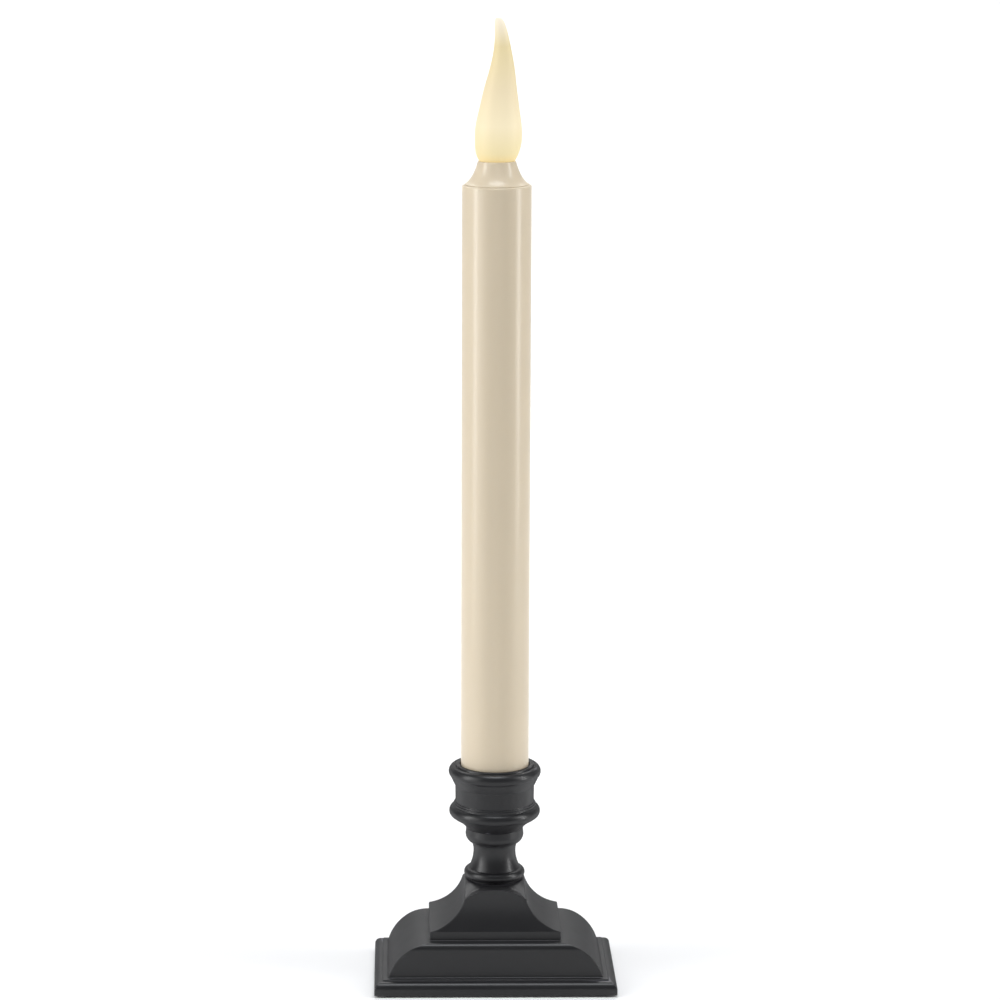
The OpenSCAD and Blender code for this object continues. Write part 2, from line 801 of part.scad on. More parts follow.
module candle_top() {
    edge_r = tube_bore_r + 0.4;
    edge_h = 0.3;
    cove_to = [7.3, 1.8];
    spigot_wall = 1.3;
    web_z = shoulder_top - 0.2;
    color(ivory) difference() {
        turned(concat([[0, shoulder_top - spigot_l], [tube_bore_r - eps, shoulder_top - spigot_l],
                       [tube_bore_r - eps, shoulder_top], [edge_r, shoulder_top]],
                      curve([edge_r, shoulder_top + edge_h], [cove_to[0], shoulder_top + cove_to[1]],
                            [neck_r, neck_z]),
                      [[0, neck_z]]));
        translate([0, 0, shoulder_top - 2 * spigot_l])
            cylinder(r = tube_bore_r - spigot_wall, h = web_z - shoulder_top + 2 * spigot_l);
        translate([0, 0, web_z - 1]) cylinder(r = flame_hole_r, h = 2 * neck_h);
    }
}

module flame_retainer() {
    ring_r = 7;
    ring_t = 1.5;
    color(natural) translate([0, 0, shoulder_top - ring_t - 0.2]) difference() {
        cylinder(r = ring_r, h = ring_t);
        translate([0, 0, -1]) cylinder(r = flame_spigot_r + eps, h = 2 * ring_t);
    }
}

// Smooth value between the stations, with the station number as a whole number
function flame_at(u) =
    let(last = len(flame_stations) - 1, i = min(floor(u), last - 1), t = u - i,
        a = flame_stations[max(i - 1, 0)], b = flame_stations[i],
        c = flame_stations[i + 1], d = flame_stations[min(i + 2, last)])
    b + t * (c - a) / 2 + t * t * (2 * a - 5 * b + 4 * c - d) / 2
      + t * t * t * (3 * b - a - 3 * c + d) / 2;

// Rings of the flame, drawn in by a wall
function flame_rings(wall, first, last) =
    [for (i = [first * flame_steps:last * flame_steps])
        let(s = flame_at(i / flame_steps), w = s[1] - wall)
        each [for (k = [0:flame_sides - 1])
                let(a = 360 * k / flame_sides)
                [s[2] + w * cos(a), w * flame_flat * sin(a), neck_z + s[0]]]];

module flame_body(wall, first, last) {
    polyhedron(points = flame_rings(wall, first, last),
               faces = skin((last - first) * flame_steps + 1, flame_sides), convexity = 4);
}

module flame_lens() {
    top = len(flame_stations) - 1;
    color("#fbe7c2") difference() {
        union() {
            flame_body(0, 0, top);
            translate([0, 0, neck_z - flame_spigot_l])
                cylinder(r = flame_spigot_r, h = flame_spigot_l + eps);
        }
        flame_body(flame_wall, 1, top - 2);
        translate([0, 0, neck_z - 2 * flame_spigot_l])
            cylinder(r = flame_bore_r, h = 2 * flame_spigot_l + flame_stations[1][0] + 0.1);
    }
}

base_shell();
stem();
candle_cup();
through_bolt();
bolt_washer();
ballast_weight();
bottom_cover();
cover_screws();
rubber_feet();
bottom_cap();
switch_body();
switch_terminals();
switch_knob();
battery_holder();
spring_plate();
contact_spring();
battery_lower();
battery_upper();
positive_contact();
lamp_mast();
mast_screws();
driver_board();
timer_chip();
crystal_can();
board_capacitor();
board_resistors();
led_holder();
led_lamp();
led_leads();
spring_lead();
battery_lead_black();
battery_lead_red();
lamp_lead_red();
lamp_lead_black();
candle_tube();
candle_top();
flame_retainer();
flame_lens();
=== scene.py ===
"""A battery window candle: a satin charcoal candlestick with an ivory taper and a lit flame."""
import math
import bmesh
import bpy
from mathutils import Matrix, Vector


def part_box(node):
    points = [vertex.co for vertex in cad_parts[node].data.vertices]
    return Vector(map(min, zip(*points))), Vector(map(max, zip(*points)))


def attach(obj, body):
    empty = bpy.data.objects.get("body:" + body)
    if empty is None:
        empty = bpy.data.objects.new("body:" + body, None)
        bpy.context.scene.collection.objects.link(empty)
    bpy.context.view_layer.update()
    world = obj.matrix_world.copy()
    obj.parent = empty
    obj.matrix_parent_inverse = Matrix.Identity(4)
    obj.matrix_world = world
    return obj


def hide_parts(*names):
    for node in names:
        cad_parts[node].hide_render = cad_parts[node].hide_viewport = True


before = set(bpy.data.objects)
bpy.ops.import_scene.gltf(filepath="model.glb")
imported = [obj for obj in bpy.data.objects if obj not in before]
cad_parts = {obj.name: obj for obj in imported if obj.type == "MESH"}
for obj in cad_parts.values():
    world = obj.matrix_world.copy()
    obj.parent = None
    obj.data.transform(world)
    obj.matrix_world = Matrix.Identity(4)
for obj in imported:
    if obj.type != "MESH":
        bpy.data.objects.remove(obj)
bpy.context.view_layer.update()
MM = 0.001


# ---- Camera ----
# A long lens, a little above the candle and a little to its left, so that the upright lines
# stay nearly parallel and the top of the base shows.
camera = bpy.data.objects.new("camera", bpy.data.cameras.new("camera"))
camera.location = (-0.0292, -1.0812, 0.3744)
camera.rotation_euler = (math.radians(90 - 11.505), 0, -0.0086)
camera.data.lens = 127.8
camera.data.sensor_width = 36
camera.data.shift_x = 0.0683
bpy.context.scene.collection.objects.link(camera)
bpy.context.scene.camera = camera


# ---- Base shell ----
# The foot of the candlestick, moulded in one piece of ABS with a hollow underside. Four bosses
# inside take the screws of the cover. Outside it is sprayed with a satin charcoal lacquer.
def linear(colour):
    """A linear RGBA colour from an sRGB hex string."""
    parts = [int(colour[i:i + 2], 16) / 255 for i in (1, 3, 5)]
    return tuple(c / 12.92 if c <= 0.04045 else ((c + 0.055) / 1.055) ** 2.4 for c in parts) + (1,)


def add(tree, kind, links=None, **settings):
    """Adds a shader node: settings are properties or sockets, links feed sockets."""
    node = tree.nodes.new("ShaderNode" + kind)
    for name, value in settings.items():
        socket = name.replace("_", " ")
        if hasattr(node, name):
            setattr(node, name, value)
        else:
            node.inputs[socket].default_value = value
    for name, value in (links or {}).items():
        if isinstance(value, bpy.types.NodeSocket):
            tree.links.new(value, node.inputs[name])
        else:
            node.inputs[name].default_value = value
    return node


def material(name):
    """A new material's node tree, with all its nodes cleared."""
    made = bpy.data.materials.new(name)
    made.use_nodes = True
    made.node_tree.nodes.clear()
    return made.node_tree


def blend(tree, share, low, high):
    """A mix of two colours, each a hex string or a socket, by a share from 0 to 1."""
    ends = [linear(colour) if isinstance(colour, str) else colour for colour in (low, high)]
    return add(tree, "Mix", {0: share, 6: ends[0], 7: ends[1]}, data_type="RGBA").outputs[2]


def noise(tree, place, size, detail, **settings):
    """Noise over a place, in patches of a size in millimetres."""
    made = add(tree, "TexNoise", {"Vector": place}, Scale=1 / (size * MM), Detail=detail,
               **settings)
    return made.outputs["Fac"]


def spread(tree, share, low, high):
    """A share from 0 to 1 turned into a value from low to high."""
    return add(tree, "MapRange", {"Value": share, "To Min": low, "To Max": high}).outputs[0]


def relief(tree, height, strength, depth):
    """A normal that follows a height, to a depth in millimetres."""
    return add(tree, "Bump", {"Height": height}, Strength=strength, Distance=depth * MM).outputs[0]


def shade(tree, links, **settings):
    """Ends a material with its principled shader, and returns the material."""
    shader = add(tree, "BsdfPrincipled", links, **settings)
    output = add(tree, "OutputMaterial", {"Surface": shader.outputs[0]})
    output.is_active_output = True
    return next(m for m in bpy.data.materials if m.node_tree == tree)


def satin_lacquer():
    """Satin lacquer on ABS: a fine orange peel, duller at a slant, with a painted highlight on the
    edges.
    """
    tree = material("satin_lacquer_on_abs")
    place = add(tree, "TexCoord").outputs["Object"]
    cloud = noise(tree, place, 9, 3.0, Roughness=0.55)
    peel = noise(tree, place, 0.9, 2.0, Roughness=0.4)
    bend = add(tree, "NewGeometry").outputs["Pointiness"]
    # Painted highlight: sharp edges are coloured a light grey, as if they caught the light.
    edge = add(tree, "MapRange", {"Value": bend, "From Min": 0.52, "From Max": 0.62,
                                  "To Max": 0.7})
    body = blend(tree, cloud, "#19191b", "#1e1e20")
    colour = blend(tree, edge.outputs[0], body, "#5e5d64")
    patch = spread(tree, cloud, 0.3, 0.38)
    facing = add(tree, "LayerWeight", Blend=0.5).outputs["Facing"]
    slant = add(tree, "MapRange", {"Value": facing, "From Min": 0.45, "From Max": 0.85,
                                   "To Min": 0.0, "To Max": 0.35})
    gloss = add(tree, "Math", {0: patch, 1: slant.outputs[0]}, operation="ADD").outputs[0]
    bump = relief(tree, peel, 0.12, 0.02)
    return shade(tree, {"Base Color": colour, "Roughness": gloss, "Normal": bump}, IOR=1.5,
                 Specular_IOR_Level=0.45)


lacquer = satin_lacquer()


def arc(x, z, radius, start, end, steps=16):
    """Points of an arc between two angles in degrees, as (x, z)."""
    turns = [math.radians(start + (end - start) * i / steps) for i in range(steps + 1)]
    return [(x + radius * math.cos(t), z + radius * math.sin(t)) for t in turns]


def piece(name, shape, surface, body, *nodes):
    """Makes a bmesh in millimetres a piece that rides on a body and stands for CAD nodes."""
    bmesh.ops.recalc_face_normals(shape, faces=shape.faces)
    bmesh.ops.scale(shape, vec=(MM, MM, MM), verts=shape.verts)
    mesh = bpy.data.meshes.new(name)
    shape.to_mesh(mesh)
    shape.free()
    made = bpy.data.objects.new(name, mesh)
    bpy.context.scene.collection.objects.link(made)
    mesh.materials.append(surface)
    mesh.shade_smooth()
    mesh.set_sharp_from_angle(angle=math.radians(sharp_angle))
    normals = made.modifiers.new("normals", "WEIGHTED_NORMAL")
    normals.keep_sharp = True
    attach(made, body)
    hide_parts(*nodes)


sharp_angle = 38


def soften(points, reach, angle=24):
    """Rounds the corners of a run of points, in two or three dimensions, by up to a reach."""
    points = [Vector(p) for p in points]
    rounded = [points[0]]
    for before, corner, after in zip(points, points[1:], points[2:]):
        back, on = before - corner, after - corner
        if math.degrees((-back).angle(on)) < angle:
            rounded.append(corner)
            continue
        start = corner + back * min(reach / back.length, 0.45)
        end = corner + on * min(reach / on.length, 0.45)
        rounded += [start.lerp(corner, t).lerp(corner.lerp(end, t), t)
                    for t in (0, 0.25, 0.5, 0.75, 1)]
    return [tuple(p) for p in rounded + [points[-1]]]


def loop(w, d, z, across=16):
    """Points round a rectangle of half sizes w and d at a height, its corners slightly rounded."""
    corners = [arc(sx * (w - mitre_r), sy * (d - mitre_r), mitre_r, start, start + 90, 4)
               for start, sx, sy in ((0, 1, 1), (90, -1, 1), (180, -1, -1), (270, 1, -1))]
    points = []
    for here, after in zip(corners, corners[1:] + corners[:1]):
        (x0, y0), (x1, y1) = here[-1], after[0]
        points += here
        points += [(x0 + (x1 - x0) * i / across, y0 + (y1 - y0) * i / across)
                   for i in range(1, across)]
    return [(x, y, z) for x, y in points]


def skin(shape, rows, closed=False):
    """Adds the surface over rows of points, each row a closed loop, to a bmesh."""
    rings = [[shape.verts.new(point) for point in row] for row in rows]
    for low, high in zip(rings, rings[1:] + (rings[:1] if closed else [])):
        for i in range(len(low)):
            j = (i + 1) % len(low)
            shape.faces.new((low[i], low[j], high[j], high[i]))


def turn(shape, outline, sides=96, x=0.0, y=0.0):
    """Adds a turned solid to a bmesh, from a (radius, height) outline, closed or on the axis."""
    rings = []
    for r, z in outline:
        around = [2 * math.pi * i / sides for i in range(sides)] if r > 1e-6 else [0]
        rings.append([shape.verts.new((x + r * math.cos(a), y + r * math.sin(a), z))
                      for a in around])
    on_axis = len(rings[0]) == 1 and len(rings[-1]) == 1
    for low, high in zip(rings, rings[1:] + ([] if on_axis else rings[:1])):
        for i in range(sides):
            j = (i + 1) % sides
            below = (low[i % len(low)], low[j % len(low)])
            above = (high[j % len(high)], high[i % len(high)])
            corners = list(dict.fromkeys(below + above))
            if len(corners) > 2:
                shape.faces.new(corners)


shell_low, shell_high = (v / MM for v in map(Vector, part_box("base_shell")))
half_w = shell_high.x
half_d = shell_high.y
foot_z = shell_low.z
seat_z = shell_high.z
ovolo_r = 2.3
ovolo_z = foot_z + 1.75
step_z = ovolo_z + ovolo_r
step_inset = ovolo_r + 0.35
tier_z = step_z + 0.95
tier_inset = 4.35
tier_edge_r = 2.2
shoulder_r = 14.85
shoulder_x = half_w - 18.6
shoulder_z = foot_z + 0.65
tier_top = shoulder_z + shoulder_r
pedestal_w = 20.7
pedestal_d = 15.4
cove_r = 13.9
cove_x = pedestal_w + 2.5
cove_z = tier_top + 16.5
cove_end = 196.5
face_r = 27
face_z = tier_top + 13
face_y = face_r + pedestal_d - 2
dome_h = 3.4


def tier_depth(z):
    """Half depth of the lower tier at a height, with its rounded top edge."""
    over = max(0.0, z - tier_top + tier_edge_r)
    drop = math.sqrt(tier_edge_r ** 2 - min(over, tier_edge_r) ** 2)
    return half_d - tier_inset - tier_edge_r + drop


def face_depth(z):
    """Half depth of the coved front and back of the upper tier at a height."""
    return min(pedestal_d, face_y - math.sqrt(face_r ** 2 - (z - face_z) ** 2))


# The side cove, and above its bend the low barrel and the spandrels that rise to the round seat
cove_start = 180 + math.degrees(math.acos((cove_x - pedestal_w) / cove_r))
cove = arc(cove_x, cove_z, cove_r, cove_start, cove_end, 32)
kink_x, kink_z = cove[-1]
dome_r = (kink_x ** 2 + dome_h ** 2) / (2 * dome_h)
seat_r = 9.4
corner_r = math.hypot(kink_x, face_depth(kink_z))

# Under the bend: the last row of the walls, the first row of the crown, and where the search starts
walls_end = kink_z - 0.8
crown_start = kink_z - 0.7
search_start = kink_z - 0.6


def crown_z(x, y):
    """Height of the top of the base over a point of its plan."""
    barrel = kink_z + dome_h - dome_r + math.sqrt(dome_r ** 2 - min(abs(x), dome_r) ** 2)
    share = (corner_r - math.hypot(x, y)) / (corner_r - seat_r)
    return max(barrel, kink_z + (seat_z - kink_z) * min(share, 1))


def wall_point(k, z):
    """Point number k of the coved walls at a height."""
    across = cove_x - math.sqrt(cove_r ** 2 - (z - cove_z) ** 2)
    return loop(across, face_depth(z), z)[k]


def crown_line(k):
    """The run of points up wall number k from the bend, over the edge and in to the seat."""
    low, high = search_start, seat_z
    for _ in range(24):
        middle = (low + high) / 2
        x, y, z = wall_point(k, middle)
        low, high = (middle, high) if crown_z(x, y) > z else (low, middle)
    x, y, z = wall_point(k, low)
    wall = [wall_point(k, crown_start + (z - crown_start) * i / 6) for i in range(7)]
    seat = seat_r / math.hypot(x, y)
    shares = [1 - (1 - seat) * i / 14 for i in range(1, 15)]
    top = [(x * s, y * s, crown_z(x * s, y * s)) for s in shares]
    return soften(wall + top[:-1], crown_reach, 12)[:edge_points] + top[1:]


mitre_r = 0.45
crown_reach = 0.45
edge_points = 12
shoulder_start = math.degrees(math.asin((tier_z - shoulder_z) / shoulder_r))
shoulder_end = math.degrees(math.acos((pedestal_w - shoulder_x) / shoulder_r))
shoulder = arc(shoulder_x, shoulder_z, shoulder_r, shoulder_start, shoulder_end, 36)
fillet_r = 0.5
foot_edge = 1.2
step_h = 0.45
levels = [(half_w - inset, half_d - inset, foot_z) for inset in (foot_edge, foot_edge / 2, 0)]
levels += [(half_w, half_d, foot_z + rise) for rise in (foot_edge / 2, foot_edge)]
levels += [(half_w - ovolo_r + x, half_d - ovolo_r + x, z)
           for x, z in arc(0, ovolo_z, ovolo_r, 0, 90, 12)]
levels += [(half_w - step_inset, half_d - step_inset, step_z),
           (half_w - step_inset, half_d - step_inset, step_z + step_h)]
levels += [(half_w - tier_inset + x, half_d - tier_inset + x, z)
           for x, z in arc(fillet_r, tier_z, fillet_r, 270, 190, 5)]
levels += [(x, tier_depth(z), z) for x, z in shoulder]
levels += [(pedestal_w, pedestal_d, shoulder[-1][1])]
levels += [(x, face_depth(z), z) for x, z in cove if z < walls_end]
outside = [loop(*level) for level in soften(levels, 0.35)]
crown = list(zip(*[crown_line(k) for k in range(len(outside[0]))]))

# The hollow, from the roof under the stem down to the rebate that takes the cover
hole_r = 5.05
roof_z = seat_z - 4
wall = 1.8
well_w, well_d = 7.6, 11.3
well_foot = tier_top + 0.9
side_wall, front_wall = 2.4, 2.2
rebate = 3.8
thick_rim = 6
cover_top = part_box("bottom_cover")[1][2] / MM
inner_r = shoulder_r - wall
inner_d = half_d - tier_inset - wall
ledge_top = cover_top + 0.9
hollow = [(well_w, well_d, roof_z), (well_w, well_d, well_foot),
          (pedestal_w - side_wall, pedestal_d - front_wall, well_foot),
          (pedestal_w - side_wall, pedestal_d - front_wall, tier_top - wall)]
hollow += [(x, inner_d, z) for x, z in arc(shoulder_x, shoulder_z, inner_r, 70, 10, 20)]
hollow += [(half_w - thick_rim, inner_d, ledge_top), (half_w - rebate, half_d - rebate, ledge_top),
           (half_w - rebate, half_d - rebate, cover_top), (half_w - wall, half_d - wall, cover_top),
           (half_w - wall, half_d - wall, foot_z)]
hole = [[(x * hole_r / seat_r, y * hole_r / seat_r, height) for x, y, _ in crown[-1]]
        for height in (seat_z, roof_z)]

shape = bmesh.new()
skin(shape, outside + crown + hole + [loop(*level) for level in hollow], closed=True)
boss_r = 4
boss_roof = 11
pilot_r = 1.1
boss_x = 26
boss_y = half_d - 10.25
for sx in (-1, 1):
    for sy in (-1, 1):
        turn(shape, [(boss_r, cover_top), (boss_r, boss_roof), (pilot_r, boss_roof),
                     (pilot_r, cover_top)], 32, sx * boss_x, sy * boss_y)
piece("base_shell_moulding", shape, lacquer, "candlestick", "base_shell")


# ---- Bolt and washer ----
# A zinc-plated M4 screw from inside the base, over a washer. It clamps the stem and the cup to
# the shell. The screws of the cover and of the mast have the same plating.
def zinc_plate():
    """Bright zinc plate on steel: a clean grey metal with a faint spangle and soft highlights."""
    tree = material("zinc_plated_steel")
    place = add(tree, "TexCoord").outputs["Object"]
    spangle = add(tree, "TexVoronoi", {"Vector": place}, Scale=1 / (0.8 * MM))
    colour = blend(tree, spangle.outputs["Distance"], "#b9bcc0", "#a2a6ab")
    gloss = spread(tree, spangle.outputs["Distance"], 0.24, 0.36)
    return shade(tree, {"Base Color": colour, "Roughness": gloss}, Metallic=1.0)


def finish(node, surface, radius=0.0):
    """Gives a CAD node its material, and rounds its edges by a radius in millimetres."""
    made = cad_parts[node]
    made.data.materials.clear()
    made.data.materials.append(surface)
    for face in made.data.polygons:
        face.material_index = 0
    if radius:
        edges = made.modifiers.new("edges", "BEVEL")
        edges.width = radius * MM
        edges.segments = 2
        edges.limit_method = "ANGLE"
        edges.angle_limit = math.radians(30)
        edges.harden_normals = True


zinc = zinc_plate()
for node in ("through_bolt", "bolt_washer", "cover_screws", "mast_screws"):
    finish(node, zinc)


# ---- Stem ----
# A turned column in the same lacquered ABS as the base: a foot ring, a waist and a collar. Its
# tenon sits in the base, and the bolt runs up through it.
def bezier(a, b, c, steps=10):
    """Points of a quadratic curve from a towards b and on to c."""
    spans = [i / steps for i in range(steps + 1)]
    return [tuple((1 - t) ** 2 * p + 2 * t * (1 - t) * q + t * t * r for p, q, r in zip(a, b, c))
            for t in spans]


stem_top = seat_z + 16.7
ring_r = 9.6
ring_edge_r = 1.6
ring_h = 1.9
waist_r = 6.65
waist_low_r, waist_high_r = 12, 6.5
waist_z = seat_z + 9.2
collar_r = 9.15
collar_edge_r = 2.95
collar_h = 2.1
collar_top_r = collar_r - 0.2
bolt_hole_r = 2.3
tenon_r, tenon_end = 5, seat_z - 3.6
socket_r, socket_floor = 4.05, stem_top - 4.1
outline = [(bolt_hole_r, tenon_end), (tenon_r, tenon_end), (tenon_r, seat_z),
           (ring_r - ring_edge_r / 2, seat_z)]
outline += arc(ring_r - ring_edge_r, seat_z + ring_h, ring_edge_r, -60, 90, 20)
outline += arc(waist_r + waist_low_r, waist_z, waist_low_r, 207.6, 180, 16)
outline += arc(waist_r + waist_high_r, waist_z, waist_high_r, 178, 157, 10)
outline += arc(collar_r - collar_edge_r, stem_top - collar_h, collar_edge_r, -70, 0, 14)
outline += [(collar_top_r, stem_top), (socket_r, stem_top), (socket_r, socket_floor),
            (bolt_hole_r, socket_floor), (bolt_hole_r, tenon_end)]
shape = bmesh.new()
turn(shape, soften(outline, 0.2))
piece("turned_stem", shape, lacquer, "candlestick", "stem")


# ---- Candle cup ----
# Turned like the stem: a flare, a ring, two fine steps, a plain band and a rounded lip. The candle
# slides in its bore, and a plug below goes into the stem and takes the thread of the bolt.
cup_top = (Vector(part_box("candle_cup")[1]) / MM).z
cup_floor = cup_top - 17.25
bore_r = 11
ring_z = stem_top + 5.4
band_z = stem_top + 9.1
band_r = 12.38
bead = (12.45, cup_top - 2.45)
bead_r = 2.08
lip_r = 12.3
plug_r, plug_end = 4, stem_top - 3.8
thread_r, thread_end = 2, cup_floor - 1.1
steps_r = (13, 12.65)
outline = [(0, thread_end), (thread_r, thread_end), (thread_r, plug_end), (plug_r, plug_end),
           (plug_r, stem_top)]
outline += bezier((collar_top_r, stem_top), (collar_top_r + 1, stem_top + 1.7),
                  (12.85, stem_top + 3.3))
outline += arc(12.35, ring_z, 2, -70, 66, 20)
outline += [(steps_r[0], band_z - 1.7), (steps_r[0], band_z - 1.1), (steps_r[1], band_z - 1.1),
            (steps_r[1], band_z - 0.5), (band_r, band_z - 0.5)]
outline += bezier((band_r + 0.08, band_z + 4.7), (band_r + 0.8, band_z + 6),
                  (bead[0] + 1.45, bead[1] - 1.5))
outline += arc(*bead, bead_r, -40, 72, 20)
outline += [(lip_r + 0.45, cup_top - 0.7), (lip_r + 0.1, cup_top - 0.7), (lip_r, cup_top),
            (bore_r, cup_top)]
outline += [(bore_r, cup_floor), (0, cup_floor)]
shape = bmesh.new()
turn(shape, soften(outline, 0.16))
piece("turned_cup", shape, lacquer, "candlestick", "candle_cup")


# ---- Ballast ----
# A block of cast iron inside the base keeps the tall candle upright. Its edges are blunt, as
# they come from the mould.
def cast_iron():
    """Grey iron from a sand mould: dark, rough and pitted like fine sand."""
    tree = material("sand_cast_iron")
    place = add(tree, "TexCoord").outputs["Object"]
    sand = noise(tree, place, 0.7, 4.0)
    colour = blend(tree, sand, "#45423f", "#6a645d")
    bump = relief(tree, sand, 0.6, 0.15)
    return shade(tree, {"Base Color": colour, "Normal": bump}, Metallic=0.8, Roughness=0.62)


finish("ballast_weight", cast_iron(), 0.6)


# ---- Cover, its screws and the feet ----
# A moulded plate closes the base. Four rubber pads in shallow seats keep it from sliding.
def moulded_abs():
    """Black ABS from a spark-eroded mould: an even, fine grain that scatters the light."""
    tree = material("grained_black_abs")
    place = add(tree, "TexCoord").outputs["Object"]
    grain = noise(tree, place, 0.35, 3.0)
    colour = blend(tree, grain, "#1f1f21", "#2c2c2f")
    bump = relief(tree, grain, 0.35, 0.03)
    return shade(tree, {"Base Color": colour, "Normal": bump}, Roughness=0.55, IOR=1.53)


def pad_rubber():
    """Moulded rubber: very dark and matt, with a dusty bloom in the pores."""
    tree = material("moulded_rubber")
    place = add(tree, "TexCoord").outputs["Object"]
    bloom = noise(tree, place, 1.6, 4.0)
    colour = blend(tree, bloom, "#161617", "#2a2a2b")
    bump = relief(tree, bloom, 0.3, 0.05)
    return shade(tree, {"Base Color": colour, "Normal": bump}, Roughness=0.85)


black_abs = moulded_abs()
finish("bottom_cover", black_abs, 0.2)
finish("rubber_feet", pad_rubber(), 0.15)


# ---- Candle cap and tube ----
# The ivory taper: an extruded tube with a satin skin, closed below by a moulded cap.
def ivory_plastic(name, draw):
    """Ivory plastic: satin and slightly see-through, with faint lines from drawing or moulding."""
    tree = material(name)
    place = add(tree, "TexCoord").outputs["Object"]
    along = add(tree, "Mapping", {"Vector": place, "Scale": (1, 1, draw)})
    lines = noise(tree, along.outputs[0], 0.8, 3.0)
    cloud = noise(tree, along.outputs[0], 14, 2.0)
    colour = blend(tree, cloud, "#dbcdb5", "#d4c5ab")
    gloss = spread(tree, cloud, 0.26, 0.32)
    bump = relief(tree, lines, 0.04, 0.02)
    return shade(tree, {"Base Color": colour, "Roughness": gloss, "Normal": bump}, IOR=1.49,
                 Subsurface_Weight=0.12, Subsurface_Scale=1.2 * MM,
                 Subsurface_Radius=(1, 0.85, 0.65))


ivory = ivory_plastic("extruded_ivory_abs", 0.03)
finish("bottom_cap", ivory, 0.25)

tube_low, tube_high = (v / MM for v in map(Vector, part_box("candle_tube")))
tube_r = tube_high.x
tube_bore_r = 9.5
tube_top = tube_high.z
rim_r = 0.55
# The outline closes on the straight of the bore, so that the corner at its top is softened too
outline = [(tube_bore_r, tube_low.z), (tube_r, tube_low.z)]
outline += arc(tube_r - rim_r, tube_top - rim_r, rim_r, 0, 90, 8)
outline += [(tube_bore_r, tube_top), (tube_bore_r, tube_low.z + 1)]
shape = bmesh.new()
turn(shape, soften(outline, 0.12))
piece("ivory_tube", shape, ivory, "candle_sleeve", "candle_tube")


# ---- Shoulder cap ----
# A moulded cap pressed into the tube. Its cove runs up to the neck that holds the flame.
neck_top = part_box("candle_top")[1][2] / MM
neck_r = 5.85
cap_r = tube_bore_r + 0.4
flame_hole_r = 4.7
moulded_ivory = ivory_plastic("moulded_ivory_abs", 1.0)
skirt_r, skirt_bore_r, skirt_end = 9.49, 8.2, tube_top - 9
web_z = tube_top - 0.2
outline = [(skirt_bore_r, skirt_end), (skirt_r, skirt_end), (skirt_r, tube_top), (cap_r, tube_top)]
outline += bezier((cap_r, tube_top + 0.3), (7.3, tube_top + 1.8), (neck_r, neck_top), 20)
outline += [(flame_hole_r, neck_top), (flame_hole_r, web_z), (skirt_bore_r, web_z),
            (skirt_bore_r, skirt_end + 1)]
shape = bmesh.new()
turn(shape, soften(outline, 0.18))
piece("shoulder_cap", shape, moulded_ivory, "candle_sleeve", "candle_top")


# ---- Flame ----
# A hollow flame of frosted acrylic. A spigot under it is held in the neck by a ring, and the lamp
# inside lights it: brightest in the bulb, and a deeper yellow towards the tip and the rim.
def colours_along(tree, share, stops, kind="LINEAR"):
    """Colours along a share from 0 to 1, from stops of (share, hex string)."""
    made = add(tree, "ValToRGB", {"Fac": share})
    made.color_ramp.interpolation = kind
    elements = made.color_ramp.elements
    for spot, colour in stops:
        elements.new(spot).color = linear(colour)
    elements.remove(elements[0])
    elements.remove(elements[-1])
    return made.outputs[0]


flame_h = 43.4


def lit_acrylic():
    """Frosted acrylic lit from inside: a soft, even glow with hardly any shading of its own."""
    tree = material("frosted_acrylic_lit")
    place = add(tree, "TexCoord").outputs["Object"]
    height = add(tree, "SeparateXYZ", {0: place}).outputs["Z"]
    rise = add(tree, "MapRange", {"Value": height, "From Min": neck_top * MM,
                                  "From Max": (neck_top + flame_h) * MM})
    glow = colours_along(tree, rise.outputs[0],
                         ((0.0, "#f4dda0"), (0.06, "#f4e9be"), (0.25, "#fbf4dc"),
                          (0.5, "#e9e0ca"), (0.8, "#dcd3ae"), (1.0, "#ccc38c")))
    frost = noise(tree, place, 0.4, 2.0)
    bump = relief(tree, frost, 0.08, 0.02)
    return shade(tree, {"Base Color": linear("#a8966c"), "Emission Color": glow,
                  "Normal": bump}, Emission_Strength=0.6, Roughness=0.5, IOR=1.49,
                 Specular_IOR_Level=0.2)


# Stations up the flame: height above the neck, half width, lean of the centre
stations = [(0, 5.5, 0), (2.4, 6.6, 0.1), (6, 7.2, 0.38), (10.5, 7.1, 0.47), (16, 6.15, 0.68),
            (22, 5.05, 1), (28, 3.85, 1.5), (33, 2.85, 1.6), (38, 2.1, 1.3), (41.4, 1.65, 0.75),
            (43, 1.05, 0.4), (flame_h, 0.5, 0.3)]
flame_flat = 0.9


def flame_at(u):
    """Smooth height, half width and lean between the stations."""
    i = min(int(u), len(stations) - 2)
    t = u - i
    a, b, c, d = (Vector(stations[min(max(i + k, 0), len(stations) - 1)]) for k in (-1, 0, 1, 2))
    return (b + t * (c - a) / 2 + t * t * (2 * a - 5 * b + 4 * c - d) / 2
            + t ** 3 * (3 * b - a - 3 * c + d) / 2)


def flame_skin(shape, thickness, first, last, steps=8, sides=72):
    """Adds one skin of the flame to a bmesh, drawn in by a thickness."""
    rings = []
    for i in range(first * steps, last * steps + 1):
        z, w, lean = flame_at(i / steps)
        w -= thickness
        around = [2 * math.pi * k / sides for k in range(sides)]
        rings.append([shape.verts.new((lean + w * math.cos(a), w * flame_flat * math.sin(a),
                                       neck_top + z)) for a in around])
    for low, high in zip(rings, rings[1:]):
        for k in range(sides):
            shape.faces.new((low[k], low[(k + 1) % sides], high[(k + 1) % sides], high[k]))
    tip = shape.verts.new((sum((v.co for v in rings[-1]), Vector())) / sides)
    for k in range(sides):
        shape.faces.new((rings[-1][k], rings[-1][(k + 1) % sides], tip))
    return rings[0]


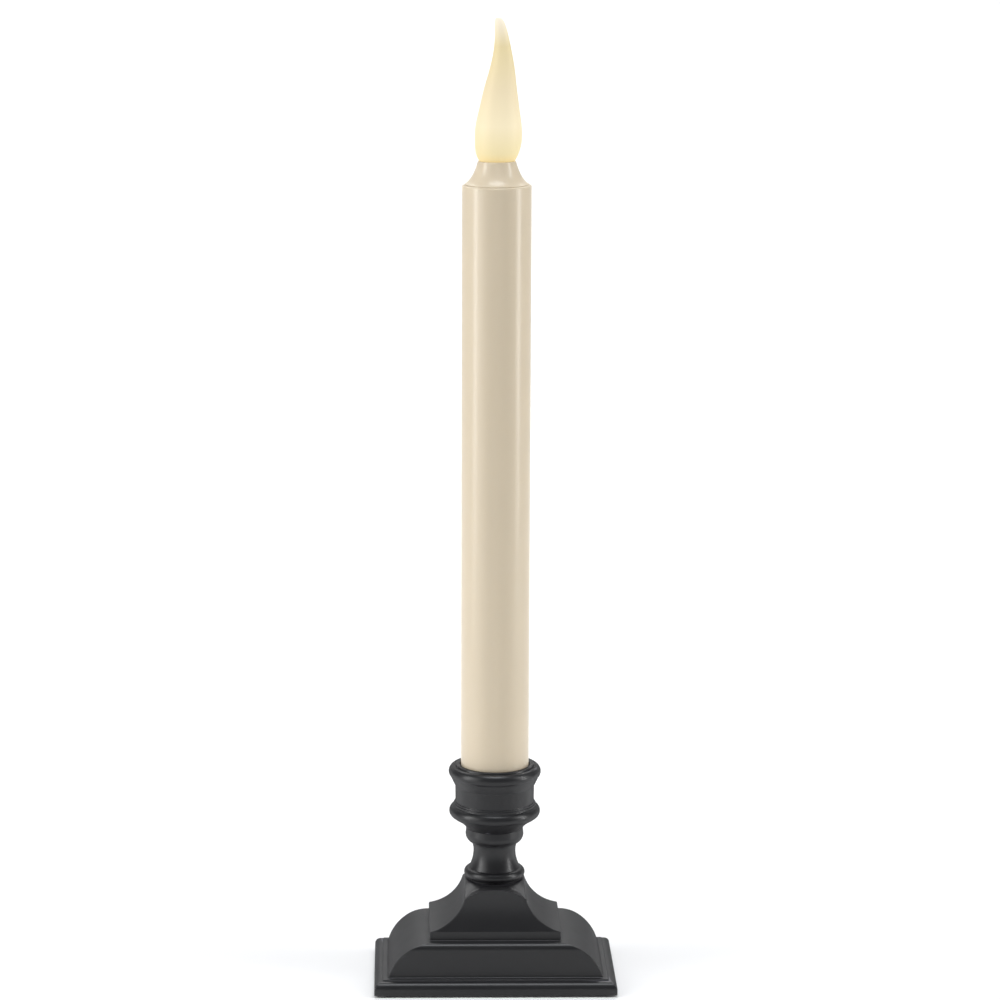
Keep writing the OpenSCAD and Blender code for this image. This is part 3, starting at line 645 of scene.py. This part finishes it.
flame_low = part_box("flame_lens")[0][2] / MM
flame_wall = 1.1
spigot_r, spigot_bore_r = 4.65, 3.6
shape = bmesh.new()
outer = flame_skin(shape, 0, 0, len(stations) - 1)
inside = flame_skin(shape, flame_wall, 1, len(stations) - 3)
sides = len(outer)


def ring_of(r, z):
    """A round ring of the flame's spigot, with as many points as the flame's skin."""
    around = [2 * math.pi * k / sides for k in range(sides)]
    return [shape.verts.new((r * math.cos(a), r * math.sin(a), z)) for a in around]


run = [outer, ring_of(spigot_r, neck_top), ring_of(spigot_r, flame_low),
       ring_of(spigot_bore_r, flame_low), ring_of(spigot_bore_r, neck_top + 2), inside]
for low, high in zip(run, run[1:]):
    for k in range(sides):
        shape.faces.new((low[k], low[(k + 1) % sides], high[(k + 1) % sides], high[k]))
acrylic = lit_acrylic()
piece("flame", shape, acrylic, "candle_sleeve", "flame_lens")


# ---- Battery holder and lamp mast ----
# Moulded in natural polypropylene: a trough for the cells, and a post that carries board and lamp.
def natural_pp():
    """Natural polypropylene: milky white, waxy and a little see-through."""
    tree = material("natural_polypropylene")
    place = add(tree, "TexCoord").outputs["Object"]
    flow = noise(tree, place, 5, 3.0)
    colour = blend(tree, flow, "#e4e2da", "#efede6")
    bump = relief(tree, flow, 0.08, 0.05)
    return shade(tree, {"Base Color": colour, "Normal": bump}, Roughness=0.45, IOR=1.49,
                 Subsurface_Weight=0.2, Subsurface_Scale=1.5 * MM, Subsurface_Radius=(1, 0.9, 0.8))


pp = natural_pp()
for node in ("battery_holder", "lamp_mast", "flame_retainer"):
    finish(node, pp, 0.15)


# ---- Cells ----
# Two AA cells in line, each a drawn steel can in a film of plain bands. The bands are the same on
# both, with nothing printed on them.
def cell_jacket(z0, length):
    """Film shrunk over a steel can: glossy grey-blue, a thin silver band and a darker top."""
    tree = material("shrunk_film_on_steel")
    place = add(tree, "TexCoord").outputs["Object"]
    split = add(tree, "SeparateXYZ", {0: place})
    span = add(tree, "MapRange", {"Value": split.outputs["Z"], "From Min": z0 * MM,
                                  "From Max": (z0 + length) * MM})
    band = colours_along(tree, span.outputs[0],
                         ((0.0, "#4c6a8f"), (0.78, "#c6cace"), (0.81, "#394a5e")), "CONSTANT")
    wear = noise(tree, place, 3, 3.0)
    gloss = spread(tree, wear, 0.28, 0.34)
    return shade(tree, {"Base Color": band, "Roughness": gloss}, Metallic=0.3)


for node in ("battery_lower", "battery_upper"):
    low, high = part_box(node)
    finish(node, cell_jacket(low[2] / MM, (high[2] - low[2]) / MM))


# ---- Contacts, terminals and pins ----
# Nickel-plated strip and wire: the springs and contacts of the cells, the pins of the switch and
# the lamp, and the can of the crystal.
def nickel():
    """Bright nickel plate with fine rolling lines."""
    tree = material("nickel_plated_strip")
    place = add(tree, "TexCoord").outputs["Object"]
    roll = add(tree, "Mapping", {"Vector": place, "Scale": (1, 12, 1)})
    lines = noise(tree, roll.outputs[0], 2, 3.0)
    gloss = spread(tree, lines, 0.18, 0.34)
    return shade(tree, {"Roughness": gloss}, Base_Color=linear("#c9c5bb"), Metallic=1.0)


bright_nickel = nickel()
for node in ("spring_plate", "contact_spring", "positive_contact", "switch_terminals",
             "led_leads", "crystal_can"):
    finish(node, bright_nickel)


# ---- Switch ----
# A small slide switch under the candle: a case of glass-filled nylon, and a white acetal knob
# that slides in it.
def moulded(name, colour, other, gloss):
    """A small moulded part: even colour with a faint flow, and a fine grain."""
    tree = material(name)
    place = add(tree, "TexCoord").outputs["Object"]
    flow = noise(tree, place, 1.5, 4.0)
    mixed = blend(tree, flow, colour, other)
    bump = relief(tree, flow, 0.15, 0.02)
    return shade(tree, {"Base Color": mixed, "Normal": bump}, Roughness=gloss)


finish("switch_body", moulded("glass_filled_nylon", "#1d1f22", "#2b2e32", 0.45), 0.12)
finish("switch_knob", moulded("white_acetal", "#efede6", "#f8f6f0", 0.3), 0.25)


# ---- Board and its parts ----
# A glass-epoxy board with a green solder mask. It carries the timer, its crystal and a few parts.
def solder_mask():
    """Green solder mask over copper: glossy, with darker tracks showing through."""
    tree = material("solder_mask_on_laminate")
    place = add(tree, "TexCoord").outputs["Object"]
    tracks = add(tree, "TexBrick", {"Vector": place, "Color1": linear("#2f6b45"),
                                    "Color2": linear("#2b6340"), "Mortar": linear("#3f8257")},
                 Scale=1 / (4 * MM), offset=0.37)
    return shade(tree, {"Base Color": tracks.outputs[0]}, Roughness=0.25, Coat_Weight=0.3)


finish("driver_board", solder_mask(), 0.08)
finish("timer_chip", moulded("black_epoxy_package", "#1c1c1e", "#29292b", 0.5))
finish("board_capacitor", moulded("shrunk_blue_film", "#34446a", "#3f5280", 0.25), 0.3)
finish("board_resistors", moulded("glazed_ceramic", "#18181b", "#242428", 0.35), 0.08)


# ---- Lamp ----
# A warm white LED of 5 mm, cast in clear epoxy. A black holder carries it on top of the mast,
# inside the flame.
def lamp_epoxy():
    """Clear cast epoxy, lit: pale where it faces the eye, and a deeper yellow at a slant."""
    tree = material("cast_epoxy_lamp")
    facing = add(tree, "LayerWeight", Blend=0.35)
    glow = blend(tree, facing.outputs["Facing"], "#fff3d6", "#ffd58a")
    return shade(tree, {"Base Color": glow, "Emission Color": glow}, Emission_Strength=0.55,
                 Roughness=0.08, IOR=1.55, Transmission_Weight=0.3)


finish("led_lamp", lamp_epoxy())
finish("led_holder", black_abs, 0.15)


# ---- Leads ----
# Stranded copper in soft PVC, red for plus and black for minus. They join the cells, the switch,
# the board and the lamp.
def pvc(name, colour, other):
    """Soft PVC insulation: even colour, a dull sheen and slight scuffs."""
    tree = material(name)
    place = add(tree, "TexCoord").outputs["Object"]
    scuff = noise(tree, place, 1.2, 4.0)
    mixed = blend(tree, scuff, colour, other)
    gloss = spread(tree, scuff, 0.32, 0.48)
    return shade(tree, {"Base Color": mixed, "Roughness": gloss}, Sheen_Weight=0.1)


red_pvc = pvc("red_pvc", "#a81f18", "#c03328")
black_pvc = pvc("black_pvc", "#1c1c1f", "#2e2e32")
for node in ("battery_lead_red", "lamp_lead_red"):
    finish(node, red_pvc)
for node in ("spring_lead", "battery_lead_black", "lamp_lead_black"):
    finish(node, black_pvc)


# ---- Floor and lights ----
# A pale floor that curves up behind, tall soft boxes to the left and right, and one overhead.
def studio_paper():
    """Matt white paper."""
    tree = material("studio_paper")
    place = add(tree, "TexCoord").outputs["Object"]
    pulp = noise(tree, place, 25, 3.0)
    tint = blend(tree, pulp, "#f7f7f7", "#fafafa")
    return shade(tree, {"Base Color": tint}, Roughness=0.9)


sweep = bmesh.new()
bend_y, bend_r = 1.2, 0.8
profile = [(-3.0, 0.0), (bend_y, 0.0)]
profile += [(bend_y + bend_r * math.sin(t), bend_r - bend_r * math.cos(t))
            for t in (math.radians(6 * k) for k in range(1, 16))]
profile += [(2.0, 3.0)]
rows = [[sweep.verts.new((x, y, z)) for x in (-4.0, 4.0)] for y, z in profile]
for low, high in zip(rows, rows[1:]):
    sweep.faces.new((low[0], low[1], high[1], high[0]))
paper_mesh = bpy.data.meshes.new("floor")
sweep.to_mesh(paper_mesh)
sweep.free()
paper_mesh.shade_smooth()
paper_mesh.materials.append(studio_paper())
floor = bpy.data.objects.new("floor", paper_mesh)
bpy.context.scene.collection.objects.link(floor)


def soft_box(name, place, aim, width, height, power, tint=(1, 1, 1)):
    """A rectangular area light that faces a point."""
    lamp = bpy.data.lights.new(name, "AREA")
    lamp.shape = "RECTANGLE"
    lamp.size = width
    lamp.size_y = height
    lamp.energy = power
    lamp.color = tint
    made = bpy.data.objects.new(name, lamp)
    made.location = place
    made.rotation_euler = (Vector(aim) - Vector(place)).to_track_quat("-Z", "Y").to_euler()
    bpy.context.scene.collection.objects.link(made)


middle = (0, 0, 0.15)
soft_box("left_box", (-0.8, -0.4, 0.3), middle, 0.6, 0.9, 3)
soft_box("left_strip", (-0.74, -0.2, 0.3), middle, 0.12, 0.9, 2.8)
soft_box("right_strip", (0.74, -0.17, 0.35), middle, 0.11, 0.9, 3.8)
soft_box("top_box", (0, -0.15, 1.1), middle, 0.5, 0.4, 4.4, (0.93, 0.96, 1))
soft_box("floor_wash", (0, 0.7, 0.8), (0, 0.9, 0), 0.9, 0.5, 6.4)
soft_box("back_wash", (0, 1.35, 0.8), (0, 1.95, 0.25), 0.9, 0.3, 4)

bpy.context.scene.view_settings.view_transform = "Standard"
world = bpy.data.worlds.new("studio")
bpy.context.scene.world = world
world.use_nodes = True
backdrop = world.node_tree.nodes["Background"]
backdrop.inputs["Color"].default_value = linear("#f4f5f7")
backdrop.inputs["Strength"].default_value = 0.24
